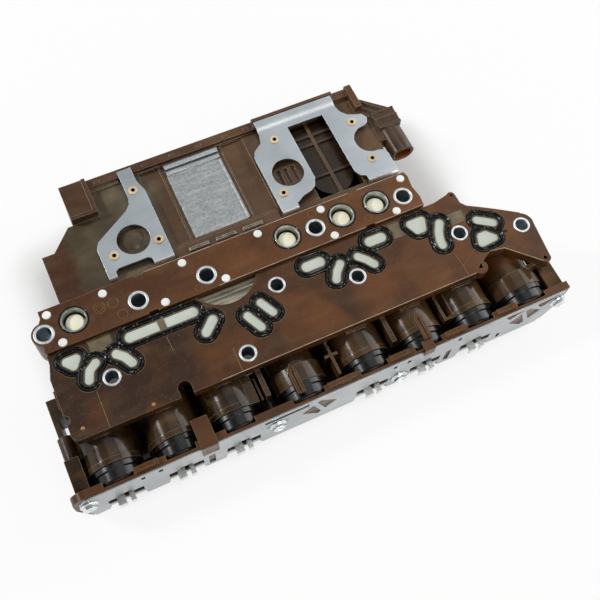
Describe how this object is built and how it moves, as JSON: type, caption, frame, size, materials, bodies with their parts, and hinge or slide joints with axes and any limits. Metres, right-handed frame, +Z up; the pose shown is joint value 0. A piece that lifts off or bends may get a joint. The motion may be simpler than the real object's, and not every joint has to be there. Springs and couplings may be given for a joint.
{
  "type": "transmission valve body",
  "caption": "Electro-hydraulic control module of an automatic transmission: a row of solenoids under a ported sealing plate, a pressure-switch strip and an electronics housing.",
  "frame": {"origin": "centre of the base, on the surface that the part lies on", "axes": "+X along the row of solenoids, +Y from the solenoids to the electronics housing, +Z up out of the sealing face"},
  "size_m": [0.24, 0.147, 0.0384],
  "materials": {
    "carrier_plastic": "glass-filled nylon, brown, satin",
    "filter_plastic": "tan moulded filter plate",
    "filter_mesh": "fine woven mesh, pale",
    "bead_rubber": "bonded black rubber",
    "bushing_steel": "zinc plated",
    "can_steel": "drawn steel",
    "cap_plastic": "black moulded cap",
    "spool_steel": "ground steel",
    "coil_copper": "enamelled copper wire",
    "frame_plastic": "dark brown nylon",
    "cover_steel": "plain sheet steel",
    "tinned_blade": "tinned",
    "screw_zinc": "bright zinc",
    "stake_plastic": "white",
    "cup_steel": "drawn steel",
    "disc_plastic": "cream",
    "housing_plastic": "dark brown nylon",
    "plate_aluminium": "mottled mill finish",
    "board_laminate": "green laminate",
    "bracket_steel": "blue-grey sheet",
    "rivet_brass": "tan eyelet",
    "pin_brass": "plain"
  },
  "bodies": {
    "body": {"solenoid_carrier": "carrier_plastic", "filter_plates": "filter_plastic", "filter_screens": "filter_mesh", "seal_left": "bead_rubber", "seal_centre": "bead_rubber", "seal_middle": "bead_rubber", "seal_right": "bead_rubber", "seal_far_right": "bead_rubber", "plate_bushings": "bushing_steel", "solenoid_can_1": "can_steel", "solenoid_can_2": "can_steel", "solenoid_can_3": "can_steel", "solenoid_can_4": "can_steel", "solenoid_can_5": "can_steel", "solenoid_can_6": "can_steel", "solenoid_can_7": "can_steel", "solenoid_can_8": "can_steel", "solenoid_cap_1": "cap_plastic", "solenoid_cap_2": "cap_plastic", "solenoid_cap_3": "cap_plastic", "solenoid_cap_4": "cap_plastic", "solenoid_cap_5": "cap_plastic", "solenoid_cap_6": "cap_plastic", "solenoid_cap_7": "cap_plastic", "solenoid_cap_8": "cap_plastic", "solenoid_coils": "coil_copper", "lead_frame": "frame_plastic", "steel_cover": "cover_steel", "weld_tabs": "tinned_blade", "cover_screws": "screw_zinc", "switch_strip": "carrier_plastic", "strip_bushings": "bushing_steel", "strip_stakes": "stake_plastic", "switch_rings": "bead_rubber", "switch_cup_1": "cup_steel", "switch_cup_2": "cup_steel", "switch_cup_3": "cup_steel", "switch_cup_4": "cup_steel", "module_housing": "housing_plastic", "module_cover": "housing_plastic", "heat_plate": "plate_aluminium", "circuit_board": "board_laminate", "terminal_bars": "tinned_blade", "bracket_left": "bracket_steel", "bracket_right": "bracket_steel", "bracket_rivets": "rivet_brass", "connector_shell": "housing_plastic", "connector_pins": "pin_brass"},
    "spool_1": {"solenoid_spool_1": "spool_steel"},
    "spool_2": {"solenoid_spool_2": "spool_steel"},
    "spool_3": {"solenoid_spool_3": "spool_steel"},
    "spool_4": {"solenoid_spool_4": "spool_steel"},
    "spool_5": {"solenoid_spool_5": "spool_steel"},
    "spool_6": {"solenoid_spool_6": "spool_steel"},
    "spool_7": {"solenoid_spool_7": "spool_steel"},
    "spool_8": {"solenoid_spool_8": "spool_steel"},
    "disc_1": {"switch_disc_1": "disc_plastic"},
    "disc_2": {"switch_disc_2": "disc_plastic"},
    "disc_3": {"switch_disc_3": "disc_plastic"},
    "disc_4": {"switch_disc_4": "disc_plastic"}
  },
  "joints": [
    {"name": "spool_slide_1", "type": "slide", "parent": "body", "child": "spool_1", "axis": [0, 1, 0], "range_m": [0, 0.0015], "stiffness_N_per_m": 800},
    {"name": "spool_slide_2", "type": "slide", "parent": "body", "child": "spool_2", "axis": [0, 1, 0], "range_m": [0, 0.0015], "stiffness_N_per_m": 800},
    {"name": "spool_slide_3", "type": "slide", "parent": "body", "child": "spool_3", "axis": [0, 1, 0], "range_m": [0, 0.0015], "stiffness_N_per_m": 800},
    {"name": "spool_slide_4", "type": "slide", "parent": "body", "child": "spool_4", "axis": [0, 1, 0], "range_m": [0, 0.0015], "stiffness_N_per_m": 800},
    {"name": "spool_slide_5", "type": "slide", "parent": "body", "child": "spool_5", "axis": [0, 1, 0], "range_m": [0, 0.0015], "stiffness_N_per_m": 800},
    {"name": "spool_slide_6", "type": "slide", "parent": "body", "child": "spool_6", "axis": [0, 1, 0], "range_m": [0, 0.0015], "stiffness_N_per_m": 800},
    {"name": "spool_slide_7", "type": "slide", "parent": "body", "child": "spool_7", "axis": [0, 1, 0], "range_m": [0, 0.0015], "stiffness_N_per_m": 800},
    {"name": "spool_slide_8", "type": "slide", "parent": "body", "child": "spool_8", "axis": [0, 1, 0], "range_m": [0, 0.0015], "stiffness_N_per_m": 800},
    {"name": "disc_slide_1", "type": "slide", "parent": "body", "child": "disc_1", "axis": [0, 0, 1], "range_m": [-0.0004, 0], "stiffness_N_per_m": 2000},
    {"name": "disc_slide_2", "type": "slide", "parent": "body", "child": "disc_2", "axis": [0, 0, 1], "range_m": [-0.0004, 0], "stiffness_N_per_m": 2000},
    {"name": "disc_slide_3", "type": "slide", "parent": "body", "child": "disc_3", "axis": [0, 0, 1], "range_m": [-0.0004, 0], "stiffness_N_per_m": 2000},
    {"name": "disc_slide_4", "type": "slide", "parent": "body", "child": "disc_4", "axis": [0, 0, 1], "range_m": [-0.0004, 0], "stiffness_N_per_m": 2000}
  ]
}
